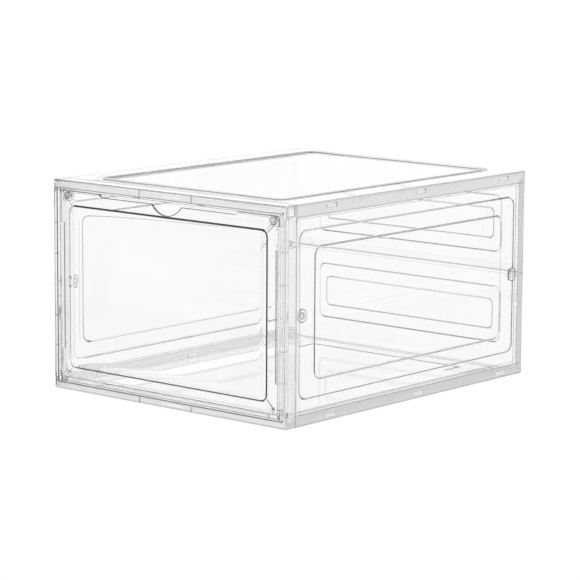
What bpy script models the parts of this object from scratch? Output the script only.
"""Clear drop-front shoe box: snap-together panels, a front frame, and a door hinged along its bottom edge.

The scene is in metres, the dimensions below are in millimetres, and +Z is up.
The origin is the centre of the footprint, on the ground. The door faces -Y.
"""
import math

import bmesh
import bpy
from mathutils import Vector

for old_object in list(bpy.data.objects):
    bpy.data.objects.remove(old_object, do_unlink=True)

MM = 0.001

# ---- shared dimensions ----------------------------------------------------------------------
WIDTH = 288.0            # across the front
DEPTH = 360.0            # front to back
HEIGHT = 200.0           # to the rim of the lid; the ridge on the lid stands above this
GAP = 0.3                # clearance between neighbouring pieces
WALL = 2.0               # moulded wall
TONGUE = 1.6             # thickness of the tongues that slide behind a neighbour
EMBED = 1.0              # how far an added part runs into the wall that carries it
MIN_RADIUS = 0.3         # smallest corner radius, used for corners that look square

HALF_WIDTH, HALF_DEPTH = WIDTH / 2, DEPTH / 2
FRONT_Y = -HALF_DEPTH
MID_Z = HEIGHT / 2

FRAME_RETURN = 15.3      # depth of the front frame's side wall
BAND_TOP = 11.4          # height of the lid's side skirts
BAND_BOTTOM = 10.7       # height of the base's side skirts
BAND_BACK = 10.8         # depth of the back panels' side skirts

# The skirts meet at 45 degree mitres. Each value is the y where a mitre line, carried on,
# reaches the ground (base, lower back) or the rim (lid, upper back).
PLATE_MITRE_Y = HALF_DEPTH - 0.3
BACK_MITRE_Y = HALF_DEPTH + 0.1

FRONT_EDGE = -HALF_DEPTH + FRAME_RETURN + GAP    # front of the lid, base and side plates
TONGUE_END = -174.2                              # how far their tongues reach into the frame
TONGUE_X = 139.5                                 # half width of the lid's and base's tongues
TONGUE_DROP = 2.0                                # thickness of those two tongues
TONGUE_LAP = 4.0                                 # how far they run back under the plate
NECK_Y = (FRONT_EDGE + 1.0, FRONT_EDGE + 3.0)    # the neck that joins a tongue to its plate

SLOT_Y = (-116.6, 13.4, 143.4)                   # centres of the snap windows along each skirt
SLOT_LEN = 15.0
SLOT_H = 4.0
SLOT_INSET = 2.8                                 # from the rim or the ground to a window
SLOT_LOW_BASE = SLOT_INSET                       # lower edges of the windows
SLOT_LOW_LID = HEIGHT - SLOT_INSET - SLOT_H
SLOT_CUT = 4.0                                   # the cutters reach this far either side of the face

STEP = 1.0               # depth of the stepped band on the side and back panels
STEP_SLOPE = 0.9         # how far the walls of the step lean
STEP_INSET = 0.1         # the step's inner face is drawn in by this much

MAGNET_R = 3.5
MAGNET_T = 2.0
MAGNET_CHAMFER = 0.25
MAGNET_X = 127.6
MAGNET_Z = 185.6
POCKET_R = MAGNET_R + GAP
POCKET_DEPTH = MAGNET_T + 2 * GAP

DOOR_X = 134.4           # half width of the door
HINGE_Y = -175.2         # the door's axis, parallel to X
HINGE_Z = 15.5
PIN_R = 1.6

CORNER_SEGMENTS = 5
ROUND_SEGMENTS = 24
SHARP_ANGLE = math.radians(30)
SIDES = (-1, 1)          # left, right


# ---- materials ------------------------------------------------------------------------------
def material(name, colour, roughness, metallic=0.0, alpha=1.0):
    mat = bpy.data.materials.new(name)
    mat.use_nodes = True
    shader = mat.node_tree.nodes["Principled BSDF"]
    shader.inputs["Base Color"].default_value = (*colour, 1.0)
    shader.inputs["Roughness"].default_value = roughness
    shader.inputs["Metallic"].default_value = metallic
    shader.inputs["Alpha"].default_value = alpha
    return mat


def clear_plastic(name, colour=(0.93, 0.94, 0.94), roughness=0.05, alpha=0.25):
    return material(name, colour=colour, roughness=roughness, alpha=alpha)


def nickel(name):
    return material(name, colour=(0.55, 0.55, 0.56), roughness=0.25, metallic=1.0)


# ---- outlines -------------------------------------------------------------------------------
def rounded(half_a, half_b, radius, centre_a=0.0, centre_b=0.0):
    """A rounded rectangle, counter-clockwise."""
    radius = max(min(radius, half_a, half_b), MIN_RADIUS)
    points = []
    for quarter, (sign_a, sign_b) in enumerate(((1, 1), (-1, 1), (-1, -1), (1, -1))):
        for i in range(CORNER_SEGMENTS + 1):
            angle = math.radians(90 * quarter + 90 * i / CORNER_SEGMENTS)
            points.append((centre_a + sign_a * (half_a - radius) + radius * math.cos(angle),
                           centre_b + sign_b * (half_b - radius) + radius * math.sin(angle)))
    return points


def rounded_box(box, grow, radius):
    """A rounded rectangle from (a0, a1, b0, b1), grown outward by grow."""
    a0, a1, b0, b1 = box
    return rounded((a1 - a0) / 2 + grow, (b1 - b0) / 2 + grow, radius + grow,
                   (a0 + a1) / 2, (b0 + b1) / 2)


def circle(radius, centre_a=0.0, centre_b=0.0, segments=ROUND_SEGMENTS):
    angles = [2 * math.pi * i / segments for i in range(segments)]
    return [(centre_a + radius * math.cos(a), centre_b + radius * math.sin(a)) for a in angles]


def lift(outline, axis, level):
    """Places a 2-D outline in space, at a level along an axis (0, 1 or 2)."""
    return [(*point[:axis], level, *point[axis:]) for point in outline]


def span(side, a, b):
    """The x range from a to b on one side of the box, low end first."""
    return sorted((side * a, side * b))


# ---- solids ---------------------------------------------------------------------------------
def add_skin(bm, loops, ring=False):
    """Bridges loops of equal length. A ring also joins last to first; otherwise the ends are capped."""
    rows = [[bm.verts.new(Vector(point) * MM) for point in loop] for loop in loops]
    pairs = list(zip(rows, rows[1:]))
    if ring:
        pairs.append((rows[-1], rows[0]))
    for a, b in pairs:
        for i in range(len(a)):
            j = (i + 1) % len(a)
            bm.faces.new((a[i], a[j], b[j], b[i]))
    if not ring:
        bm.faces.new(list(reversed(rows[0])))
        bm.faces.new(rows[-1])


def add_prism(bm, outline, axis, low, high):
    """Extrudes a closed outline, given in the two other axes, along an axis."""
    add_skin(bm, [lift(outline, axis, low), lift(outline, axis, high)])


def add_block(bm, x0, x1, y0, y1, z0, z1):
    add_prism(bm, [(x0, y0), (x1, y0), (x1, y1), (x0, y1)], 2, z0, z1)


def finish_object(bm, name, mat=None):
    bmesh.ops.recalc_face_normals(bm, faces=bm.faces)
    mesh = bpy.data.meshes.new(name)
    bm.to_mesh(mesh)
    bm.free()
    ob = bpy.data.objects.new(name, mesh)
    bpy.context.scene.collection.objects.link(ob)
    if mat is not None:
        mesh.materials.append(mat)
    return ob


def loft(name, loops, mat, ring=False):
    bm = bmesh.new()
    add_skin(bm, loops, ring)
    return finish_object(bm, name, mat)


def combine(target, name, bm, operation, use_self=False):
    """Joins or cuts the target with a hidden helper solid, which shares the target's origin."""
    helper = finish_object(bm, name)
    helper.hide_render = True
    helper.display_type = "WIRE"
    helper.location = target.location
    modifier = target.modifiers.new(name, "BOOLEAN")
    modifier.operation = operation
    modifier.solver = "EXACT"
    modifier.object = helper
    modifier.use_self = use_self


# ---- parts shared by the lid, base and back -------------------------------------------------
def add_skirts(bm, outline):
    """A skirt along each side, from its outline in y and z."""
    for side in SIDES:
        add_prism(bm, outline, 0, *span(side, HALF_WIDTH, HALF_WIDTH - WALL))


def add_front_tongue(bm, outer_z, inward):
    """A tongue stepped in from the plate, and its neck; inward is +1 for up or -1 for down."""
    face = outer_z + inward * (WALL + GAP)
    add_block(bm, -TONGUE_X, TONGUE_X, TONGUE_END, FRONT_EDGE + TONGUE_LAP,
              *sorted((face, face + inward * TONGUE_DROP)))
    add_block(bm, -TONGUE_X, TONGUE_X, *NECK_Y,
              *sorted((outer_z + inward * EMBED, face + inward * EMBED)))


def cut_windows(plate, name, low):
    bm = bmesh.new()
    for side in SIDES:
        x = side * HALF_WIDTH
        for y in SLOT_Y:
            add_block(bm, x - SLOT_CUT, x + SLOT_CUT, y - SLOT_LEN / 2, y + SLOT_LEN / 2,
                      low, low + SLOT_H)
    combine(plate, name, bm, "DIFFERENCE")


def plate_edge(z):
    """The outer edge of the lid and base plates."""
    return lift(rounded(HALF_WIDTH, (HALF_DEPTH - FRONT_EDGE) / 2, MIN_RADIUS,
                        0, (FRONT_EDGE + HALF_DEPTH) / 2), 2, z)


RIDGE_X = 114.0          # half width of the ridge round the lid's field, over its outer face
RIDGE_Y = (-149.0, 164.0)
RIDGE_R = 9.0            # its corner radius


def ridge_loop(grow, radius, z):
    """A loop parallel to the lid ridge's outer face."""
    y0, y1 = RIDGE_Y
    return lift(rounded(RIDGE_X + grow, (y1 - y0) / 2 + grow, radius, 0, (y0 + y1) / 2), 2, z)


# ---- lid ------------------------------------------------------------------------------------
RIDGE_H = 1.3            # how far the ridge stands above the rim
RIDGE_T = 2.6            # its width at the foot, inside
RIDGE_LEAN_OUT = 0.5     # lean of its outer face
RIDGE_LEAN_IN = 0.6      # lean of its inner face
LID_FIELD_DROP = 0.6     # how far the field inside the ridge lies below the rim
LID_UNDER_FOOT = 1.3     # underneath, the field's slope starts this far inside the ridge
LID_UNDER_FIELD = 2.2    # and ends this far inside it


def build_lid():
    """A plate with a low ridge round a sunken field, side skirts and a front tongue."""
    under = HEIGHT - WALL

    def inside_ridge(inset, z):
        return ridge_loop(-inset, RIDGE_R - inset, z)

    lid = loft("top_panel", [
        inside_ridge(RIDGE_T + LID_UNDER_FIELD, under - LID_FIELD_DROP),
        inside_ridge(RIDGE_T + LID_UNDER_FOOT, under),
        plate_edge(under),
        plate_edge(HEIGHT),
        inside_ridge(0.0, HEIGHT),
        inside_ridge(RIDGE_LEAN_OUT, HEIGHT + RIDGE_H),
        inside_ridge(RIDGE_T - RIDGE_LEAN_IN, HEIGHT + RIDGE_H),
        inside_ridge(RIDGE_T, HEIGHT - LID_FIELD_DROP),
    ], clear_plastic("clear_lid"))

    low, high = HEIGHT - BAND_TOP, HEIGHT - EMBED
    bm = bmesh.new()
    add_skirts(bm, [(FRONT_EDGE, low), (PLATE_MITRE_Y - BAND_TOP, low),
                    (PLATE_MITRE_Y - EMBED, high), (FRONT_EDGE, high)])
    add_front_tongue(bm, HEIGHT, -1)
    combine(lid, "top_panel_edges", bm, "UNION", use_self=True)
    cut_windows(lid, "top_panel_windows", SLOT_LOW_LID)


# ---- base -----------------------------------------------------------------------------------
BASE_RISE = 2.6          # depth of the hollow underneath, which takes the lid ridge of the box below
BASE_CLEAR = 5.5         # how much wider the hollow's mouth is than the ridge, on each side
BASE_SLOPE = 7.0         # how far the hollow's sides lean in
BASE_FIELD_R = RIDGE_R + 2.0     # corner radius of the hollow's roof
BASE_SPREAD = 0.4        # on the upper face the slope lies this much further out


def build_base():
    """A plate hollowed from below, with side skirts and a front tongue."""
    roof, mouth = BASE_CLEAR - BASE_SLOPE, BASE_CLEAR
    base = loft("bottom_panel", [
        ridge_loop(roof, BASE_FIELD_R, BASE_RISE),
        ridge_loop(mouth, RIDGE_R + mouth, 0.0),
        plate_edge(0.0),
        plate_edge(WALL),
        ridge_loop(mouth + BASE_SPREAD, RIDGE_R + mouth + BASE_SPREAD, WALL),
        ridge_loop(roof + BASE_SPREAD, BASE_FIELD_R + BASE_SPREAD, WALL + BASE_RISE),
    ], clear_plastic("clear_base"))

    bm = bmesh.new()
    add_skirts(bm, [(FRONT_EDGE, EMBED), (PLATE_MITRE_Y - EMBED, EMBED),
                    (PLATE_MITRE_Y - BAND_BOTTOM, BAND_BOTTOM), (FRONT_EDGE, BAND_BOTTOM)])
    add_front_tongue(bm, 0.0, 1)
    combine(base, "bottom_panel_edges", bm, "UNION", use_self=True)
    cut_windows(base, "bottom_panel_windows", SLOT_LOW_BASE)


# ---- sides ----------------------------------------------------------------------------------
# boxes are y0, y1, z0, z1
SIDE_OUTER = (-158.9, 161.6, 23.9, 176.1)        # outer boundary of the stepped band
SIDE_INNER = (-138.5, 142.5, 40.0, 160.0)        # its inner boundary
SIDE_R = 9.0
SIDE_FACE = (FRONT_EDGE, HALF_DEPTH - BAND_BACK - GAP,
             BAND_BOTTOM + GAP, HEIGHT - BAND_TOP - GAP)
TONGUE_CLEAR = 0.6                               # between the tongue's edge and the walls round it
SIDE_TONGUE = (TONGUE_END, HALF_DEPTH - WALL - TONGUE_CLEAR,
               WALL + TONGUE_CLEAR, HEIGHT - WALL - TONGUE_CLEAR)
SIDE_NECK = 1.9                                  # width of the edge that carries the tongue

VENT_Y = (-155.6, 160.5)
VENT_Z = 100.0
VENT_R = 3.0
VENT_BOSS_R = 6.3
VENT_BOSS_DEPTH = 3.6
VENT_CUT = (-8.0, 4.0)                           # reach of the hole's cutter about the outer face
VENT_RECESS_R = VENT_R + 1.1
VENT_RECESS_CUT = (-0.6, 4.5)

HOOK_CLEAR = 0.4                                 # between a hook and its window, all round
HOOK_SINK = 0.8                                  # how far a hook runs into the tongue
HOOK_BELOW_FACE = 0.5                            # from a hook's end to the outer face


def build_side(name, side, mat):
    """A plate flush with the skirts, with a stepped band and a tongue round its edge."""
    inner_face = -WALL
    tongue_face = inner_face - GAP

    def at(box, grow, radius, offset):
        return lift(rounded_box(box, grow, radius), 0, side * (HALF_WIDTH + offset))

    panel = loft(name, [
        at(SIDE_INNER, -STEP_SLOPE - STEP_INSET, SIDE_R, inner_face),
        at(SIDE_INNER, -STEP_INSET, SIDE_R, inner_face - STEP),
        at(SIDE_OUTER, -STEP_INSET, SIDE_R, inner_face - STEP),
        at(SIDE_OUTER, STEP_SLOPE - STEP_INSET, SIDE_R, inner_face),
        at(SIDE_FACE, -SIDE_NECK, MIN_RADIUS, inner_face),
        at(SIDE_FACE, -SIDE_NECK, MIN_RADIUS, tongue_face - TONGUE),
        at(SIDE_TONGUE, 0, MIN_RADIUS, tongue_face - TONGUE),
        at(SIDE_TONGUE, 0, MIN_RADIUS, tongue_face),
        at(SIDE_FACE, 0, MIN_RADIUS, tongue_face),
        at(SIDE_FACE, 0, MIN_RADIUS, 0.0),
        at(SIDE_OUTER, 0, SIDE_R, 0.0),
        at(SIDE_OUTER, -STEP_SLOPE, SIDE_R, -STEP),
        at(SIDE_INNER, STEP_SLOPE, SIDE_R, -STEP),
        at(SIDE_INNER, 0, SIDE_R, 0.0),
    ], mat)

    # vent bosses and snap hooks
    bm = bmesh.new()
    for y in VENT_Y:
        add_prism(bm, circle(VENT_BOSS_R, y, VENT_Z), 0,
                  *span(side, HALF_WIDTH - VENT_BOSS_DEPTH, HALF_WIDTH))
    hook_x = span(side, HALF_WIDTH - WALL - GAP - HOOK_SINK, HALF_WIDTH - HOOK_BELOW_FACE)
    half_len, half_h = SLOT_LEN / 2 - HOOK_CLEAR, SLOT_H / 2 - HOOK_CLEAR
    for y in SLOT_Y:
        for low in (SLOT_LOW_LID, SLOT_LOW_BASE):
            z = low + SLOT_H / 2
            add_block(bm, *hook_x, y - half_len, y + half_len, z - half_h, z + half_h)
    combine(panel, name + "_bosses", bm, "UNION")

    # vent holes, each with a wider shallow recess in the outer face
    bm = bmesh.new()
    for y in VENT_Y:
        for radius, reach in ((VENT_R, VENT_CUT), (VENT_RECESS_R, VENT_RECESS_CUT)):
            add_prism(bm, circle(radius, y, VENT_Z), 0,
                      *span(side, HALF_WIDTH + reach[0], HALF_WIDTH + reach[1]))
    combine(panel, name + "_vents", bm, "DIFFERENCE", use_self=True)


# ---- back, in two halves --------------------------------------------------------------------
BACK_OUTER = (115.0, 28.0, 7.0)          # stepped band: half width, half height, corner radius
BACK_INNER = (106.0, 14.8, 5.0)
BACK_SEAM = 100.0
LOWER_Z = (WALL + GAP, BACK_SEAM - GAP / 2)
UPPER_Z = (BACK_SEAM + GAP / 2, HEIGHT - WALL - GAP)
LOWER_FIELD_Z = 54.7                     # centre heights of the bands
UPPER_FIELD_Z = 145.3
LAP_X = 139.6                            # half width of the tongue across the seam
LAP_Z = (BACK_SEAM - 3.2, BACK_SEAM + 6.6)
LAP_NECK_Z = (BACK_SEAM - 3.2, BACK_SEAM - 1.2)


def back_plate(name, z_range, field_z, mat):
    z0, z1 = z_range
    outside, inside = HALF_DEPTH, HALF_DEPTH - WALL

    def band(field, grow, radius_grow, y):
        half_x, half_z, radius = field
        return lift(rounded(half_x + grow, half_z + grow, radius + radius_grow, 0, field_z), 1, y)

    def edge(y):
        return lift(rounded(HALF_WIDTH, (z1 - z0) / 2, MIN_RADIUS, 0, (z0 + z1) / 2), 1, y)

    narrow, wide = -STEP_SLOPE - STEP_INSET, STEP_SLOPE - STEP_INSET
    return loft(name, [
        band(BACK_INNER, narrow, narrow, inside),
        band(BACK_INNER, -STEP_INSET, 0, inside - STEP),
        band(BACK_OUTER, -STEP_INSET, 0, inside - STEP),
        band(BACK_OUTER, wide, wide, inside),
        edge(inside),
        edge(outside),
        band(BACK_OUTER, 0, 0, outside),
        band(BACK_OUTER, -STEP_SLOPE, -STEP_SLOPE, outside - STEP),
        band(BACK_INNER, STEP_SLOPE, STEP_SLOPE, outside - STEP),
        band(BACK_INNER, 0, 0, outside),
    ], mat)


def build_back():
    skirt_y = HALF_DEPTH - BAND_BACK
    root_y = HALF_DEPTH - EMBED

    z0, z1 = LOWER_Z
    lower = back_plate("back_panel_lower", LOWER_Z, LOWER_FIELD_Z,
                       clear_plastic("clear_back_lower"))
    bm = bmesh.new()
    # the mitre runs where y + z = BACK_MITRE_Y
    add_skirts(bm, [(skirt_y, BACK_MITRE_Y - skirt_y), (BACK_MITRE_Y - z0, z0), (root_y, z0),
                    (root_y, z1), (skirt_y, z1)])
    # lap tongue on the inner side of the upper half, and its neck
    lap_y = HALF_DEPTH - WALL - GAP
    add_block(bm, -LAP_X, LAP_X, lap_y - TONGUE, lap_y, *LAP_Z)
    add_block(bm, -LAP_X, LAP_X, lap_y - EMBED, root_y, *LAP_NECK_Z)
    combine(lower, "back_lower_edges", bm, "UNION", use_self=True)

    z0, z1 = UPPER_Z
    upper = back_plate("back_panel_upper", UPPER_Z, UPPER_FIELD_Z,
                       clear_plastic("clear_back_upper"))
    bm = bmesh.new()
    # the mitre runs where y - z = mitre
    mitre = BACK_MITRE_Y - HEIGHT
    add_skirts(bm, [(skirt_y, z0), (root_y, z0), (root_y, z1), (mitre + z1, z1),
                    (skirt_y, skirt_y - mitre)])
    combine(upper, "back_upper_edges", bm, "UNION")


# ---- front frame ----------------------------------------------------------------------------
FRAME_CORNER = 2.4                       # rounding of the frame's outer edges
FRAME_CORNER_STEPS = 3
STOP_DEPTH = 5.5                         # the door's stop, behind the frame's front
LIP_X, LIP_Z = DOOR_X + 0.4, 90.8        # half size of the clear opening
# section from the front face in to the opening and back: half width, half height,
# corner radius, depth behind the frame's front
FRAME_SECTION = [
    (138.5, 92.9, 0.3, 0.0),
    (138.2, 92.6, 0.3, 0.5),
    (LIP_X, LIP_Z, 0.3, 0.5),
    (LIP_X, LIP_Z, 0.3, 2.4),
    (136.6, 92.5, 0.3, 2.4),
    (136.6, 92.5, 0.3, STOP_DEPTH),
    (132.2, 88.1, 1.0, STOP_DEPTH),
    (132.2, 88.1, 1.0, 7.3),
    (138.4, 94.3, 0.3, 7.3),
    (138.4, 94.3, 0.3, 2.4),
    (HALF_WIDTH - WALL, HEIGHT / 2 - WALL, 0.6, 2.4),
    (HALF_WIDTH - WALL, HEIGHT / 2 - WALL, 0.6, FRAME_RETURN),
]
WEB_HALF = 0.6                           # half thickness of the webs
WEB_Y = (FRONT_Y + 2.0, FRONT_Y + 5.2)
SIDE_WEB_Z = (42.0, 70.5, 129.5, 159.0)
SIDE_WEB_X = (138.0, HALF_WIDTH - EMBED)
END_WEB_X = 32.3
END_WEB_REACH = 6.1                      # from the box's top or bottom to the web's inner end

LUG_X = DOOR_X + 0.5
HINGE_LUG_X = (LUG_X, 138.0)
HINGE_LUG_Y = (FRONT_Y + 2.0, HINGE_Y + 3.6)
HINGE_LUG_Z = (7.0, 22.0)
MAGNET_LUG_X = (122.8, 137.4)
MAGNET_LUG_Y = (FRONT_Y + STOP_DEPTH, FRONT_Y + 9.5)
MAGNET_LUG_Z = (180.6, 193.3)

SWING_Y = (FRONT_Y + 3.0, FRONT_Y + 12.0)    # clearance cuts for the swinging door
HINGE_SWING_X = (120.0, LUG_X)
HINGE_SWING_Z = (7.6, 25.0)
EDGE_SWING_X = 121.0
EDGE_SWING_Z = (9.8, 25.0)
PIN_BORE_X = (130.0, 140.0)


def build_frame():
    section = [(HALF_WIDTH, HEIGHT / 2, FRAME_CORNER, FRAME_RETURN)]
    for i in range(FRAME_CORNER_STEPS + 1):
        angle = math.radians(90 * i / FRAME_CORNER_STEPS)
        inset = FRAME_CORNER * (1 - math.cos(angle))
        section.append((HALF_WIDTH - inset, HEIGHT / 2 - inset, FRAME_CORNER + MIN_RADIUS - inset,
                        FRAME_CORNER * (1 - math.sin(angle))))
    section += FRAME_SECTION
    frame = loft("front_frame", [
        lift(rounded(half_x, half_z, radius, 0, MID_Z), 1, FRONT_Y + depth)
        for half_x, half_z, radius, depth in section
    ], clear_plastic("clear_frame", colour=(0.92, 0.93, 0.93), alpha=0.3), ring=True)

    # webs across the frame's channel
    bm = bmesh.new()
    for side in SIDES:
        for z in SIDE_WEB_Z:
            add_block(bm, *span(side, *SIDE_WEB_X), *WEB_Y, z - WEB_HALF, z + WEB_HALF)
        x = side * END_WEB_X
        for z0, z1 in ((EMBED, END_WEB_REACH), (HEIGHT - END_WEB_REACH, HEIGHT - EMBED)):
            add_block(bm, x - WEB_HALF, x + WEB_HALF, *WEB_Y, z0, z1)
    combine(frame, "frame_webs", bm, "UNION")

    # hinge lugs at the bottom corners, magnet lugs at the top corners
    bm = bmesh.new()
    for side in SIDES:
        add_block(bm, *span(side, *HINGE_LUG_X), *HINGE_LUG_Y, *HINGE_LUG_Z)
        add_block(bm, *span(side, *MAGNET_LUG_X), *MAGNET_LUG_Y, *MAGNET_LUG_Z)
    combine(frame, "frame_lugs", bm, "UNION")

    # the stop is cut back round the hinge, and lowered so that the door's edge can swing past
    bm = bmesh.new()
    for side in SIDES:
        add_block(bm, *span(side, *HINGE_SWING_X), *SWING_Y, *HINGE_SWING_Z)
        add_prism(bm, circle(PIN_R + GAP, HINGE_Y, HINGE_Z), 0, *span(side, *PIN_BORE_X))
    add_block(bm, -EDGE_SWING_X, EDGE_SWING_X, *SWING_Y, *EDGE_SWING_Z)
    combine(frame, "frame_door_clearance", bm, "DIFFERENCE", use_self=True)

    bm = bmesh.new()
    stop = FRONT_Y + STOP_DEPTH
    for side in SIDES:
        add_prism(bm, circle(POCKET_R, side * MAGNET_X, MAGNET_Z), 1,
                  stop - EMBED, stop + POCKET_DEPTH)
    combine(frame, "frame_magnet_pockets", bm, "DIFFERENCE")


# ---- door -----------------------------------------------------------------------------------
DOOR_Z = (12.2, 190.4)
DOOR_DEPTH = 5.1                         # from the frame's front to the door's back edge
DOOR_BACK = FRONT_Y + DOOR_DEPTH
DOOR_FIELD = (122.2, 76.9, 6.5)          # half width, half height, corner radius of the raised panel
DOOR_RAMP = 9.0                          # inside, the panel thickens over this width to its edge
DOOR_RAMP_RISE = 0.9
# inner face of the centre panel: inset from DOOR_FIELD, added corner radius, depth
DOOR_INSIDE = [
    (1.0 + DOOR_RAMP, 3.0, 2.0),
    (1.0 + DOOR_RAMP / 2, 1.5, 2.0 + DOOR_RAMP_RISE / 4),
    (1.0, 0.0, 2.0 + DOOR_RAMP_RISE),
]
# rim, from the inner face round to the outer: inset from the door's edge, corner radius, depth
DOOR_RIM = [
    (3.4, 1.0, 4.2), (1.8, 1.0, 3.8), (1.8, 1.0, DOOR_DEPTH),
    (0.0, 2.0, DOOR_DEPTH), (0.0, 2.0, 1.9), (3.0, 1.0, 1.9),
]
# outer face of the centre panel, with the columns of DOOR_INSIDE
DOOR_OUTSIDE = [(0.0, 0.0, 1.3), (0.0, 0.0, 0.0)]

KNUCKLE_R = 3.2
KNUCKLE_X = (126.8, DOOR_X - 0.1)
PIN_X = (128.0, 138.1)
MAGNET_BOSS_X = (122.8, DOOR_X - 1.0)
MAGNET_BOSS_Y = FRONT_Y + 2.6            # its front, inside the door's wall
MAGNET_BOSS_Z = (180.8, 189.6)
RELIEF = 2.9                             # depth of the cuts along the door's edges
SIDE_RELIEF_Z = (40.0, 160.0)
TOP_RELIEF_X = (82.5, 88.0)              # half widths at the cut's floor and at its mouth
TOP_RELIEF_MOUTH = 0.6                   # height of the mouth above the door's top
CUT_PAST = 5.0                           # how far the cutters pass the door's edge
CUT_Y = (-10.0, 10.0)                    # and their reach about the hinge axis
NOTCH_R = 22.5                           # thumb notch: radius, and height of its lowest point
NOTCH_LOW = 178.3
NOTCH_SEGMENTS = 48


def door_loops():
    """Loops about the hinge axis, so the finished mesh turns about the hinge."""
    def loop(half_x, half_z, radius, depth, centre_z):
        points = lift(rounded(half_x, half_z, radius, 0, centre_z), 1, FRONT_Y + depth)
        return [(x, y - HINGE_Y, z - HINGE_Z) for x, y, z in points]

    def field_loops(table):
        half_x, half_z, radius = DOOR_FIELD
        return [loop(half_x - inset, half_z - inset, radius + added, depth, MID_Z)
                for inset, added, depth in table]

    z0, z1 = DOOR_Z
    rim = [loop(DOOR_X - inset, (z1 - z0) / 2 - inset, radius, depth, (z0 + z1) / 2)
           for inset, radius, depth in DOOR_RIM]
    return field_loops(DOOR_INSIDE) + rim + field_loops(DOOR_OUTSIDE)


def build_door():
    """The door and its fittings, all drawn about the hinge axis."""
    door = loft("door", door_loops(), clear_plastic("clear_door", roughness=0.04))
    door.location = (0, HINGE_Y * MM, HINGE_Z * MM)
    back = DOOR_BACK - HINGE_Y

    # knuckles and magnet bosses
    bm = bmesh.new()
    for side in SIDES:
        add_prism(bm, circle(KNUCKLE_R), 0, *span(side, *KNUCKLE_X))
        add_block(bm, *span(side, *MAGNET_BOSS_X), MAGNET_BOSS_Y - HINGE_Y, back,
                  MAGNET_BOSS_Z[0] - HINGE_Z, MAGNET_BOSS_Z[1] - HINGE_Z)
    combine(door, "door_bosses", bm, "UNION")

    # stub pins
    bm = bmesh.new()
    for side in SIDES:
        add_prism(bm, circle(PIN_R), 0, *span(side, *PIN_X))
    combine(door, "door_pins", bm, "UNION")

    # side reliefs between the corners, and a top relief with slanted ends
    bm = bmesh.new()
    for side in SIDES:
        add_block(bm, *span(side, DOOR_X - RELIEF, DOOR_X + CUT_PAST), *CUT_Y,
                  SIDE_RELIEF_Z[0] - HINGE_Z, SIDE_RELIEF_Z[1] - HINGE_Z)
    top = DOOR_Z[1] - HINGE_Z
    floor_x, mouth_x = TOP_RELIEF_X
    mouth = top + TOP_RELIEF_MOUTH
    past = top + CUT_PAST
    add_prism(bm, [(-floor_x, top - RELIEF), (floor_x, top - RELIEF), (mouth_x, mouth),
                   (mouth_x, past), (-mouth_x, past), (-mouth_x, mouth)], 1, *CUT_Y)
    combine(door, "door_reliefs", bm, "DIFFERENCE")

    # thumb notch and magnet pockets
    bm = bmesh.new()
    add_prism(bm, circle(NOTCH_R, 0.0, NOTCH_LOW + NOTCH_R - HINGE_Z, NOTCH_SEGMENTS), 1, *CUT_Y)
    for side in SIDES:
        add_prism(bm, circle(POCKET_R, side * MAGNET_X, MAGNET_Z - HINGE_Z), 1,
                  back - POCKET_DEPTH, back + EMBED)
    combine(door, "door_notch_and_pockets", bm, "DIFFERENCE")
    return door


# ---- magnets --------------------------------------------------------------------------------
def magnet(name, mat):
    """A chamfered disc along Y, with its origin at the centre of its front face."""
    return loft(name, [lift(circle(radius), 1, y) for radius, y in (
        (MAGNET_R - MAGNET_CHAMFER, 0.0),
        (MAGNET_R, MAGNET_CHAMFER),
        (MAGNET_R, MAGNET_T - MAGNET_CHAMFER),
        (MAGNET_R - MAGNET_CHAMFER, MAGNET_T),
    )], mat)


def build_magnets(door):
    """A facing pair at each top corner; the door's magnets move with the door."""
    fronts = (("door", DOOR_BACK - MAGNET_T - GAP), ("frame", FRONT_Y + STOP_DEPTH + GAP))
    for side_name, side in zip(("left", "right"), SIDES):
        for owner, y in fronts:
            disc = magnet(f"{owner}_magnet_{side_name}", nickel(f"nickel_{owner}_{side_name}"))
            disc.location = Vector((side * MAGNET_X, y, MAGNET_Z)) * MM
            if owner == "door":
                disc.parent = door
                disc.location = disc.location - door.location


def shade_pieces():
    for ob in bpy.data.objects:
        if ob.type == "MESH" and not ob.hide_render:
            ob.data.shade_smooth()
            ob.data.set_sharp_from_angle(angle=SHARP_ANGLE)


build_lid()
build_base()
build_side("right_panel", 1, clear_plastic("clear_right"))
build_side("left_panel", -1, clear_plastic("clear_left"))
build_back()
build_frame()
build_magnets(build_door())
shade_pieces()
